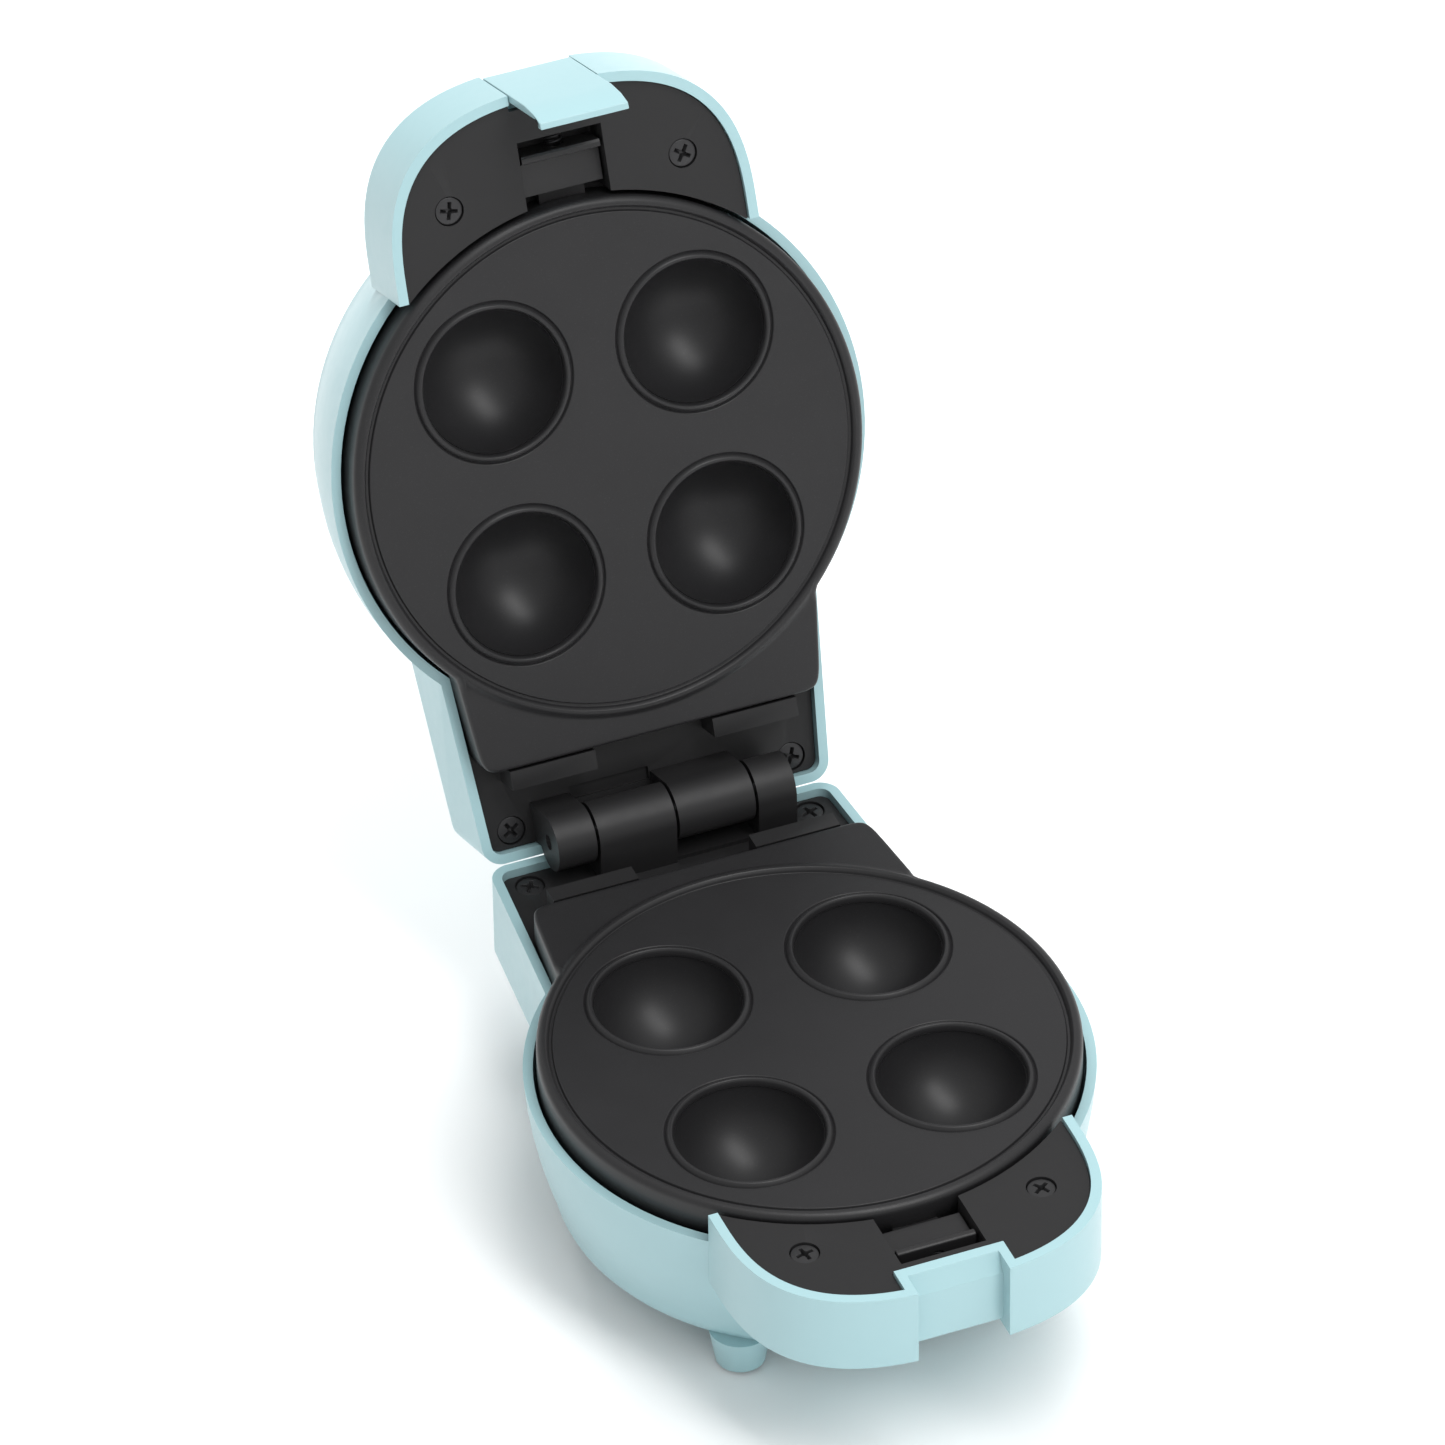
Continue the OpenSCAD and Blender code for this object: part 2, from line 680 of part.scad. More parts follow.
lower_housing();
lower_inner_frame();
lower_plate();
lower_heat_shield();
lower_heating_element();
lower_element_clamps();
lower_frame_screws();
lower_release_button();
lower_release_spring();
foot_pads();
cord_gland();
thermostat();
thermal_fuse();
terminal_block();
base_wiring();
hinge_pin();
upper_housing();
upper_inner_frame();
upper_plate();
upper_heat_shield();
upper_heating_element();
upper_element_clamps();
upper_frame_screws();
upper_release_button();
upper_release_spring();
indicator_lens();
indicator_lamp();
lid_wiring();
latch();
latch_pin();
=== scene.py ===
"""Looks of a four-cup donut ball maker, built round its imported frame.

Both halves of the maker share one shape. A surface is worked out once, in the space of the
lower half of the shut appliance, and `Half.place` sets it in the lower or the open upper half.
"""

import json
import logging
import math
from dataclasses import dataclass, field
from enum import Enum

import bmesh
import bpy
import numpy as np
from mathutils import Matrix, Vector

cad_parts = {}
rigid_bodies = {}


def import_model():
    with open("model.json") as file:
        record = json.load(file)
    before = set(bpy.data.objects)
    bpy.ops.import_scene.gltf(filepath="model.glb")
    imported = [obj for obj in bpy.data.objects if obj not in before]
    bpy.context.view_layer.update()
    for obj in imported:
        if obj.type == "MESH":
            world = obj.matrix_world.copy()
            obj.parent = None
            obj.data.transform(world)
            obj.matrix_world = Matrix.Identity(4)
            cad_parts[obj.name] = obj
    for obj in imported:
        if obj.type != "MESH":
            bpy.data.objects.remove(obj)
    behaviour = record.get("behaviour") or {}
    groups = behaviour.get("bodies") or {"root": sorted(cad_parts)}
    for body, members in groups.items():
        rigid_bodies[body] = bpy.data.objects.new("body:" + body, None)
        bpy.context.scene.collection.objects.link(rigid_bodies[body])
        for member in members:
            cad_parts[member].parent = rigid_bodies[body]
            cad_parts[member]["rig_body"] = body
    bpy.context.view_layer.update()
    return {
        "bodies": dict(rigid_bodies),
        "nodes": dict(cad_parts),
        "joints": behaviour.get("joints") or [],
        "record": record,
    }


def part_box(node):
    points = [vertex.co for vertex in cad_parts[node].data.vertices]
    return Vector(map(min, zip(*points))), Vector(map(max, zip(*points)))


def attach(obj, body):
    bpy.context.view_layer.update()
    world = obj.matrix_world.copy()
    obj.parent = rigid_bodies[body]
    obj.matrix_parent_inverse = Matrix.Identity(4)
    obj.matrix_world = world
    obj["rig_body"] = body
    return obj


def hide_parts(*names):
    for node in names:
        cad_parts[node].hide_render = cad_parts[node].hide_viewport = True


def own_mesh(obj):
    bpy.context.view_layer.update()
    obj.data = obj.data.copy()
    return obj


log = logging.getLogger("donut_maker")

MM = 0.001
TURN = 2.0 * math.pi
MERGE = 0.002 * MM  # points this close are one
FLAT = math.radians(0.4)  # faces that turn less than this are one
EDGE = math.radians(32.0)  # edges sharper than this get rounded


# ---- shader maths ----


class Socket:
    """A number socket that builds Math nodes when it stands in an expression."""

    def __init__(self, tree: "NodeTree", link: bpy.types.NodeSocket) -> None:
        """Wraps an output socket.

        Args:
            tree: The node tree that new Math nodes go into.
            link: The output socket.
        """
        self.tree = tree
        self.link = link

    def _math(self, operation: str, *values: "Socket | float") -> "Socket":
        """Adds one Math node.

        Args:
            operation: Blender's name of the operation.
            values: The node's inputs in their order.

        Returns:
            The node's value.
        """
        settings = {"operation": operation}
        return self.tree.node("ShaderNodeMath", settings, dict(enumerate(values)))[0]

    def __add__(self, other: "Socket | float") -> "Socket":
        """self + other."""
        return self._math("ADD", self, other)

    __radd__ = __add__

    def __sub__(self, other: "Socket | float") -> "Socket":
        """self - other."""
        return self._math("SUBTRACT", self, other)

    def __mul__(self, other: "Socket | float") -> "Socket":
        """self * other."""
        return self._math("MULTIPLY", self, other)

    __rmul__ = __mul__

    def above(self, edge: float, width: float) -> "Socket":
        """A smooth step from 0 to 1.

        Args:
            edge: The value at the middle of the step.
            width: How far the step reaches from its start to its end.

        Returns:
            The step's value.
        """
        return self.tree.node(
            "ShaderNodeMapRange",
            {"interpolation_type": "SMOOTHSTEP"},
            {"Value": self, "From Min": edge - width / 2, "From Max": edge + width / 2},
        )[0]


class NodeTree:
    """A material's node tree with one method that adds any node."""

    def __init__(self, name: str) -> None:
        """Makes an empty material with a Principled shader.

        Args:
            name: The material's name.
        """
        self.material = bpy.data.materials.new(name)
        self.material.use_nodes = True
        self.nodes = self.material.node_tree.nodes
        self.links = self.material.node_tree.links
        self.shader = self.nodes["Principled BSDF"]

    def node(self, kind: str, settings: dict, inputs: dict) -> list[Socket]:
        """Adds a node.

        Args:
            kind: The node's type.
            settings: Properties of the node, set first.
            inputs: Socket names or numbers with their values or links.

        Returns:
            The node's outputs that are switched on.
        """
        made = self.nodes.new(kind)
        for name, value in settings.items():
            setattr(made, name, value)
        for name, value in inputs.items():
            self.set(made.inputs[name], value)
        return [Socket(self, out) for out in made.outputs if out.enabled]

    def set(self, target: bpy.types.NodeSocket, value: "Socket | float | tuple") -> None:
        """Links a socket or sets its constant.

        Args:
            target: The input socket.
            value: A socket to link, or a constant.
        """
        if isinstance(value, Socket):
            self.links.new(value.link, target)
        else:
            target.default_value = value

    def dress(self, **inputs: "Socket | float | tuple") -> None:
        """Feeds the Principled shader.

        Args:
            inputs: Values by the shader's socket names, with underscores for spaces.
        """
        for name, value in inputs.items():
            self.set(self.shader.inputs[name.replace("_", " ")], value)

    def place(self, stretch: tuple[float, float, float] = (1.0, 1.0, 1.0)) -> Socket:
        """Object coordinates.

        Args:
            stretch: Factors along the three axes; a small one draws a pattern out.

        Returns:
            The coordinates.
        """
        where = self.node("ShaderNodeTexCoord", {}, {})[3]
        return self.node("ShaderNodeMapping", {}, {"Vector": where, "Scale": stretch})[0]

    def noise(self, where: Socket, size_mm: float, detail: float) -> Socket:
        """Noise from 0 to 1.

        Args:
            where: Coordinates in metres.
            size_mm: About how wide one grain is.
            detail: Octaves of finer noise.

        Returns:
            The noise's value.
        """
        grains = {"Vector": where, "Scale": 1.0 / (size_mm * MM), "Detail": detail}
        return self.node("ShaderNodeTexNoise", {}, grains)[0]

    def mix(self, amount: Socket, dark: tuple, light: tuple) -> Socket:
        """A colour between two others.

        Args:
            amount: 0 for dark, 1 for light.
            dark: Linear red, green and blue.
            light: Linear red, green and blue.

        Returns:
            The colour.
        """
        return self.node(
            "ShaderNodeMix",
            {"data_type": "RGBA"},
            {0: amount, 6: (*dark, 1.0), 7: (*light, 1.0)},
        )[0]

    def bump(self, height: Socket, depth_mm: float, strength: float) -> Socket:
        """A normal tilted by a relief.

        Args:
            height: The relief, from 0 to 1.
            depth_mm: The relief's depth at 1.
            strength: How much of the tilt is used.

        Returns:
            The normal.
        """
        relief = {"Height": height, "Distance": depth_mm * MM, "Strength": strength}
        return self.node("ShaderNodeBump", {}, relief)[0]


# ---- finishes ----


@dataclass(frozen=True)
class Moulding:
    """Injection-moulded plastic: a fine eroded grain, slight clouding and a soft sheen."""

    name: str
    colour: tuple[float, float, float]
    clouding: float = 0.03
    roughness: float = 0.3
    roughness_spread: float = 0.08
    grain_mm: float = 0.25
    grain_depth_mm: float = 0.01
    grain_strength: float = 0.12
    coat: float = 0.0
    specular: float = 0.5

    def material(self) -> bpy.types.Material:
        """Builds the material."""
        tree = NodeTree(self.name)
        where = tree.place()
        cloud = tree.noise(where, 22.0, 3.0)
        grain = tree.noise(where, self.grain_mm, 3.0)
        rub = tree.noise(where, 3.0, 4.0).above(0.56, 0.5)
        dark = tuple(c * (1.0 - self.clouding) for c in self.colour)
        light = tuple(min(1.0, c * (1.0 + self.clouding)) for c in self.colour)
        tree.dress(
            Base_Color=tree.mix(cloud, dark, light),
            Roughness=self.roughness + self.roughness_spread * (cloud + rub - 1.0),
            Normal=tree.bump(grain, self.grain_depth_mm, self.grain_strength),
            Specular_IOR_Level=self.specular,
            Coat_Weight=self.coat,
            Coat_Roughness=0.18,
            IOR=1.5,
        )
        return tree.material


@dataclass(frozen=True)
class NonStick:
    """Sprayed non-stick coating on cast aluminium: orange peel, fine flecks and a satin gloss."""

    name: str
    colour: tuple[float, float, float] = (0.014, 0.0138, 0.0148)
    fleck: tuple[float, float, float] = (0.03, 0.0295, 0.031)
    roughness: float = 0.42
    specular: float = 0.38

    def material(self) -> bpy.types.Material:
        """Builds the material."""
        tree = NodeTree(self.name)
        where = tree.place()
        flecks = tree.noise(where, 0.35, 2.0).above(0.66, 0.08)
        peel = tree.noise(where, 1.1, 2.0)
        wipe = tree.noise(where, 16.0, 4.0)
        tree.dress(
            Base_Color=tree.mix(flecks * 0.5 + wipe * 0.25, self.colour, self.fleck),
            Roughness=self.roughness + 0.1 * (wipe - 0.5) - 0.06 * flecks,
            Normal=tree.bump(peel, 0.02, 0.1),
            Specular_IOR_Level=self.specular,
        )
        return tree.material


@dataclass(frozen=True)
class Metal:
    """Bare or plated metal with drawing or turning lines along one axis."""

    name: str
    colour: tuple[float, float, float]
    roughness: float = 0.32
    metallic: float = 1.0
    stretch: tuple[float, float, float] = (0.05, 1.0, 1.0)
    line_mm: float = 0.3

    def material(self) -> bpy.types.Material:
        """Builds the material."""
        tree = NodeTree(self.name)
        lines = tree.noise(tree.place(self.stretch), self.line_mm, 3.0)
        stain = tree.noise(tree.place(), 9.0, 4.0)
        dark = tuple(c * 0.8 for c in self.colour)
        tree.dress(
            Base_Color=tree.mix(0.5 * lines + 0.5 * stain, dark, self.colour),
            Roughness=self.roughness + 0.15 * (lines - 0.5) + 0.1 * (stain - 0.5),
            Normal=tree.bump(lines, 0.01, 0.12),
            Metallic=self.metallic,
        )
        return tree.material


@dataclass(frozen=True)
class ClearLens:
    """Tinted clear plastic over a lamp, with faint moulding swirls."""

    name: str
    colour: tuple[float, float, float]
    glow: tuple[float, float, float]
    strength: float

    def material(self) -> bpy.types.Material:
        """Builds the material."""
        tree = NodeTree(self.name)
        swirl = tree.noise(tree.place(), 2.5, 3.0)
        deep = tuple(c * 0.6 for c in self.colour)
        tree.dress(
            Base_Color=tree.mix(swirl, deep, self.colour),
            Roughness=0.08 + 0.08 * swirl,
            Emission_Color=tree.mix(swirl, tuple(c * 0.5 for c in self.glow), self.glow),
            Emission_Strength=self.strength,
            Coat_Weight=0.5,
        )
        return tree.material


class Finish(Enum):
    """The finishes of the maker; SLOT_FINISH gives each of the record's slots one of them."""

    SHELL = Moulding(
        "shell_plastic", (0.335, 0.52, 0.552), 0.015, 0.36, 0.05, 0.3, 0.008, 0.08, coat=0.12
    )
    FRAME = Moulding(
        "frame_plastic", (0.018, 0.0178, 0.0185), 0.06, 0.46, 0.05, 0.22, 0.012, 0.2, specular=0.3
    )
    BUTTON = Moulding(
        "button_plastic", (0.019, 0.0187, 0.0195), 0.06, 0.4, 0.05, 0.22, 0.01, 0.15, specular=0.35
    )
    RUBBER = Moulding("pad_rubber", (0.03, 0.03, 0.031), 0.15, 0.75, 0.1, 0.4, 0.03, 0.3)
    CERAMIC = Moulding("steatite", (0.78, 0.76, 0.7), 0.04, 0.6, 0.1, 0.5, 0.02, 0.2)
    WIRE = Moulding("silicone_sleeve", (0.4, 0.07, 0.05), 0.08, 0.5, 0.1, 0.5, 0.01, 0.15)
    PLATE = NonStick("non_stick_coating")
    SCREW = Metal("black_oxide", (0.05, 0.05, 0.052), 0.4, 0.6, (1.0, 1.0, 1.0), 0.6)
    COIL = Metal("phosphated_wire", (0.06, 0.06, 0.064), 0.45, 0.8, (1.0, 1.0, 1.0), 0.5)
    STEEL = Metal("bright_steel", (0.62, 0.62, 0.64))
    SHEET = Metal("aluminium_sheet", (0.82, 0.82, 0.83), 0.28)
    SHEATH = Metal("element_sheath", (0.34, 0.32, 0.3), 0.45, 1.0, (1.0, 1.0, 0.1))
    BRASS = Metal("brass_sleeve", (0.7, 0.46, 0.2), 0.3)
    LENS = ClearLens("red_lens", (0.55, 0.03, 0.02), (0.9, 0.1, 0.04), 0.15)
    LAMP = ClearLens("neon_lamp", (0.9, 0.5, 0.3), (1.0, 0.35, 0.1), 0.6)

    def material(self) -> bpy.types.Material:
        """The finish's material, built on first use."""
        return bpy.data.materials.get(self.value.name) or self.value.material()


SLOT_FINISH = {
    "housing": Finish.SHELL,
    "latch": Finish.SHELL,
    "frame": Finish.FRAME,
    "plate": Finish.PLATE,
    "button": Finish.BUTTON,
    "reflector": Finish.SHEET,
    "element": Finish.SHEATH,
    "clamp": Finish.STEEL,
    "screw": Finish.SCREW,
    "spring": Finish.COIL,
    "pad": Finish.RUBBER,
    "gland": Finish.RUBBER,
    "thermostat": Finish.SHEET,
    "fuse": Finish.BRASS,
    "ceramic_block": Finish.CERAMIC,
    "wire": Finish.WIRE,
    "pin": Finish.STEEL,
    "lens": Finish.LENS,
    "lamp": Finish.LAMP,
}


# ---- surfaces ----


def revolved(profile: np.ndarray, segments: int) -> np.ndarray:
    """A surface of revolution about the z axis: the profile's radius times the cosine and sine
    of the angle, and its height.

    Args:
        profile: Rows of radius and height, from the bottom up.
        segments: Steps round the axis.

    Returns:
        Points of shape (segments, rows, 3).
    """
    angle = np.linspace(0.0, TURN, segments, endpoint=False)[:, None]
    radius, height = profile[:, 0][None], profile[:, 1][None]
    return np.stack(
        [radius * np.cos(angle), radius * np.sin(angle), height + 0.0 * angle], axis=-1
    )


def arc(
    centre: tuple[float, float], radius: float, start: float, end: float, steps: int
) -> np.ndarray:
    """Points of a circle's arc: the centre plus the radius times the cosine and sine of the
    angle.

    Args:
        centre: The circle's centre.
        radius: The circle's radius.
        start: First angle in degrees.
        end: Last angle in degrees.
        steps: Number of points.

    Returns:
        Points of shape (steps, 2).
    """
    angle = np.radians(np.linspace(start, end, steps))
    return np.stack(
        [centre[0] + radius * np.cos(angle), centre[1] + radius * np.sin(angle)], axis=-1
    )


def hump(t: np.ndarray) -> np.ndarray:
    """A smooth hump of height 1 at t = 0 that ends at t = -1 and 1: a squared cosine.

    Args:
        t: Places along the hump.

    Returns:
        Heights from 0 to 1.
    """
    return np.cos(0.5 * np.pi * np.clip(t, -1.0, 1.0)) ** 2


def ease(t: np.ndarray) -> np.ndarray:
    """A smooth step from 0 at t = 0 to 1 at t = 1.

    Args:
        t: Places along the step.

    Returns:
        Heights from 0 to 1.
    """
    t = np.clip(t, 0.0, 1.0)
    return t * t * (3.0 - 2.0 * t)


@dataclass
class Half:
    """One half of the maker: where the space of the lower half of the shut appliance goes."""

    name: str
    hinge: Vector
    plate_mid_y: float
    turn: float
    mirrored: bool

    def place(self, points: np.ndarray) -> np.ndarray:
        """Sets points in the open appliance.

        A mirrored half has its heights turned over and is then swung about the hinge.

        Args:
            points: Millimetres from the plate's middle and the parting plane, in the last axis.

        Returns:
            The points in the frame's metres.
        """
        out = points * MM
        x = out[..., 0]
        y = out[..., 1] + self.plate_mid_y - self.hinge.y
        z = -out[..., 2] if self.mirrored else out[..., 2]
        c, s = math.cos(self.turn), math.sin(self.turn)
        return np.stack(
            [x, c * y - s * z + self.hinge.y, s * y + c * z + self.hinge.z], axis=-1
        )


class Skin:
    """Gathers grids of points into one mesh object."""

    def __init__(self, name: str, half: Half) -> None:
        """Starts an empty skin.

        Args:
            name: The name of the mesh and its object.
            half: The half that the points are set in.
        """
        self.name = name
        self.half = half
        self.points: list[np.ndarray] = []
        self.quads: list[np.ndarray] = []
        self.count = 0

    def grid(self, points: np.ndarray, flip: bool = False) -> "Skin":
        """Adds a grid of points as quads; its last column joins its first.

        Args:
            points: Shape (columns, rows, 3), in millimetres in the half's space.
            flip: Whether the faces look the other way.

        Returns:
            The skin.
        """
        columns, rows = points.shape[:2]
        number = self.count + np.arange(columns * rows).reshape(columns, rows)
        after = np.roll(number, -1, axis=0)
        quads = np.stack([number[:, :-1], after[:, :-1], after[:, 1:], number[:, 1:]], axis=-1)
        quads = quads.reshape(-1, 4)
        if flip != self.half.mirrored:
            quads = quads[:, ::-1]
        self.points.append(self.half.place(points).reshape(-1, 3))
        self.quads.append(quads)
        self.count += columns * rows
        return self

    def build(self, sharp: float = 35.0) -> bpy.types.Object:
        """Joins the grids, closes their seams and poles and makes the object.

        Args:
            sharp: The angle in degrees from which an edge stays sharp.

        Returns:
            The object.
        """
        mesh = bpy.data.meshes.new(self.name)
        points, quads = np.concatenate(self.points), np.concatenate(self.quads)
        mesh.from_pydata(points.tolist(), [], quads.tolist())
        return finished(self.name, mesh, sharp)


def finished(name: str, mesh: bpy.types.Mesh, sharp: float) -> bpy.types.Object:
    """Merges a mesh's doubles, smooths it and links its object.

    Args:
        name: The object's name.
        mesh: The mesh, which is changed.
        sharp: The angle in degrees from which an edge stays sharp.

    Returns:
        The object.
    """
    work = bmesh.new()
    work.from_mesh(mesh)
    bmesh.ops.remove_doubles(work, verts=work.verts, dist=MERGE)
    work.to_mesh(mesh)
    work.free()
    mesh.shade_smooth()
    mesh.set_sharp_from_angle(angle=math.radians(sharp))
    piece = bpy.data.objects.new(name, mesh)
    bpy.context.scene.collection.objects.link(piece)
    return piece


@dataclass
class Workshop:
    """Puts finished pieces on their bodies and keeps the loaded frame."""

    frame: dict
    made: int = 0

    def slot_of(self, node: str) -> str:
        """The record's material slot of a node.

        Args:
            node: The node's name.

        Returns:
            The slot's name.
        """
        return next(
            row["material_slot"] for row in self.frame["record"]["subparts"] if row["node"] == node
        )

    def body_of(self, node: str) -> str:
        """The body that carries a node.

        Args:
            node: The node's name.

        Returns:
            The body's name.
        """
        return self.frame["nodes"][node]["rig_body"]

    def fit(self, piece: bpy.types.Object, node: str) -> bpy.types.Object:
        """Dresses a piece as a node and lets it ride on the node's body and stand for it.

        Args:
            piece: The piece.
            node: The node's name.

        Returns:
            The piece.
        """
        slot = self.slot_of(node)
        piece.data.materials.clear()
        piece.data.materials.append(SLOT_FINISH[slot].material())
        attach(piece, self.body_of(node))
        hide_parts(node)
        self.made += 1
        log.info("%s stands for %s", piece.name, node)
        return piece

    def softened(self, name: str, node: str, edge_mm: float, segments: int) -> bpy.types.Object:
        """A copy of a node's moulding with its sharp edges rounded.

        Args:
            name: The new piece's name.
            node: The node that it stands for.
            edge_mm: Radius of the rounded edges.
            segments: Steps round an edge.

        Returns:
            The piece.
        """
        mesh = self.frame["nodes"][node].data.copy()
        mesh.name = name
        work = bmesh.new()
        work.from_mesh(mesh)
        bmesh.ops.remove_doubles(work, verts=work.verts, dist=MERGE)
        bmesh.ops.dissolve_limit(work, angle_limit=FLAT, verts=work.verts, edges=work.edges)
        work.to_mesh(mesh)
        work.free()
        piece = finished(name, mesh, 35.0)
        bevel = piece.modifiers.new("rounded_edges", "BEVEL")
        bevel.width = edge_mm * MM
        bevel.segments = segments
        bevel.limit_method = "ANGLE"
        bevel.angle_limit = EDGE
        bevel.harden_normals = True
        return self.fit(piece, node)

    def dress_rest(self) -> None:
        """Gives every node that still shows the finish of its slot."""
        for node, item in self.frame["nodes"].items():
            finish = SLOT_FINISH[self.slot_of(node)]
            item.data.materials.clear()
            item.data.materials.append(finish.material())


# ---- sub-assemblies ----


@dataclass
class BakingPlate:
    """A cast plate with four cups, a bead round each, a raised rim and a tail to the hinge.

    Sizes are in millimetres: distances from the plate's middle or, for a cup's bead, from its
    lip, and heights above the parting plane.
    """

    half: Half
    cup_r: float = 18.5
    cup_at: float = 26.5
    plate_r: float = 66.7
    top: float = -0.9
    foot: float = -10.9
    tail_back: float = 72.6
    tail_half: float = 45.0
    tail_flare: float = 0.11
    tail_root: float = 38.0
    corner_power: float = 36.0
    bead: float = 0.78
    groove: float = 0.6
    groove_slope: float = 0.35
    groove_in: float = 62.6
    groove_out: float = 63.55
    rise_r: float = 63.6
    rise_w: float = 0.9
    fall_r: float = 65.1
    fall_w: float = 1.7
    tail_drop: float = 0.1
    bead_lip: float = 0.7
    bead_w: float = 1.6
    bead_sag: float = 0.25
    bead_end: float = 1.0
    bead_fall: float = 0.75
    cup_groove: float = 0.54
    cup_groove_at: float = 1.95
    cup_groove_half: float = 0.45
    flat_r: float = 62.0
    rim_start: float = 64.7
    edge_r: float = 1.9
    tail_edge_r: float = 0.9
    sheet_t: float = 2.2
    line_steps: int = 26
    bearing_step: float = 1.5
    corner_span: float = 3.0
    corner_steps: int = 25
    tail_blend: float = 2.0
    side_top: float = -4.0

    def bearings(self) -> np.ndarray:
        """Angles round the plate's middle, closer together at the tail's two corners.

        Returns:
            Bearings in degrees from the x axis, in order, none too close to its neighbour.
        """
        corner = math.degrees(math.atan2(self.tail_back, self.tail_half))
        even = np.arange(0.0, 360.0, self.bearing_step)
        near = np.linspace(-self.corner_span, self.corner_span, self.corner_steps)
        clear = np.abs(np.abs(even - 90.0) - (90.0 - corner)) > self.corner_span + 0.4
        return np.sort(np.concatenate([even[clear], corner + near, 180.0 - corner + near]))

    def height(self, radius: np.ndarray) -> np.ndarray:
        """The rim's section: a fine groove, then a raised rim, which falls to the tail's level.
        Each slope is a smooth step.

        Args:
            radius: Distances from the plate's middle.

        Returns:
            Heights above the parting plane.
        """
        down = ease((radius - self.groove_in) / self.groove_slope)
        up = ease((radius - self.groove_out) / self.groove_slope)
        rise = self.bead * ease((radius - self.rise_r) / self.rise_w)
        fall = (self.bead + self.tail_drop) * ease((radius - self.fall_r) / self.fall_w)
        return self.top - self.groove * (down - up) + rise - fall

    def cup_rows(self) -> tuple[np.ndarray, np.ndarray]:
        """A cup's section: a hemisphere, then a bead that rises steeply, sinks a little over its
        width and falls off into a fine groove.

        Returns:
            Distances from the cup's axis, and heights above the parting plane.
        """
        bowl = arc((0.0, 0.0), self.cup_r, -90.0, -3.0, 26)
        ring = np.linspace(self.cup_r + 0.06, self.cup_r + 2.7, 22)
        out = ring - self.cup_r
        lip, sag = ease(0.2 + out / self.bead_lip), ease(out / self.bead_w)
        end = ease((out - self.bead_end) / self.bead_fall)
        bead = self.bead * (lip - self.bead_sag * sag - (1.0 - self.bead_sag) * end)
        groove = self.cup_groove * hump((out - self.cup_groove_at) / self.cup_groove_half)
        return (
            np.concatenate([bowl[:, 0], ring]),
            np.concatenate([bowl[:, 1], bead - groove]) + self.top,
        )

    def quarter(self, number: int, bearings: np.ndarray) -> np.ndarray:
        """The quarter of the flat face round one cup.

        Rays run from the cup's axis to the quarter's border, which is two straight lines from
        the plate's middle and an arc. Each ray carries the cup's section, then the flat.

        Args:
            number: 0 to 3, counted from the x axis towards y.
            bearings: The bearings of the whole plate, which the rim shares.

        Returns:
            Points of shape (rays, rows, 3).
        """
        start = 90.0 * number
        inside = bearings[(bearings >= start) & (bearings <= start + 90.0)]
        if number == 3:
            inside = np.append(inside, 360.0)
        out = np.linspace(0.0, self.flat_r, self.line_steps, endpoint=False)
        first, last = math.radians(start), math.radians(start + 90.0)
        around = np.radians(inside)
        border = np.concatenate(
            [
                out[:, None] * [[math.cos(first), math.sin(first)]],
                self.flat_r * np.stack([np.cos(around), np.sin(around)], axis=-1),
                out[:0:-1, None] * [[math.cos(last), math.sin(last)]],
            ]
        )
        middle = math.radians(start + 45.0)
        centre = self.cup_at * math.sqrt(2.0) * np.array([math.cos(middle), math.sin(middle)])
        ray = border - centre
        reach = np.linalg.norm(ray, axis=1, keepdims=True)
        radius, height = self.cup_rows()
        spread = np.linspace(0.0, 1.0, 6)[1:]
        outer = radius[-1] + (reach - radius[-1]) * spread
        distance = np.concatenate([np.repeat(radius[None], len(ray), 0), outer], axis=1)
        level = np.concatenate([height, np.full(len(spread), self.top)])
        flat = centre + (ray / reach)[:, None] * distance[..., None]
        return np.dstack([flat, np.broadcast_to(level, distance.shape)])

    def outline(self, bearings: np.ndarray) -> np.ndarray:
        """The plate's outer edge: the larger of the round plate's radius and the tail's, whose
        sides and back meet in a round corner by a high power mean.

        Args:
            bearings: Angles in degrees from the x axis.

        Returns:
            One point on the edge for each bearing.
        """
        angle = np.radians(bearings)
        c, s = np.abs(np.cos(angle)), np.maximum(np.sin(angle), 0.3)
        side = (self.tail_half + self.tail_flare * self.tail_back) / (c + self.tail_flare * s)
        back = self.tail_back / s
        power = self.corner_power
        tail = (side**-power + back**-power) ** (-1.0 / power)
        tail = np.where(np.sin(angle) * tail > self.tail_root, tail, 0.0)
        radius = np.maximum(self.plate_r, tail)
        return radius[:, None] * np.stack([np.cos(angle), np.sin(angle)], axis=-1)

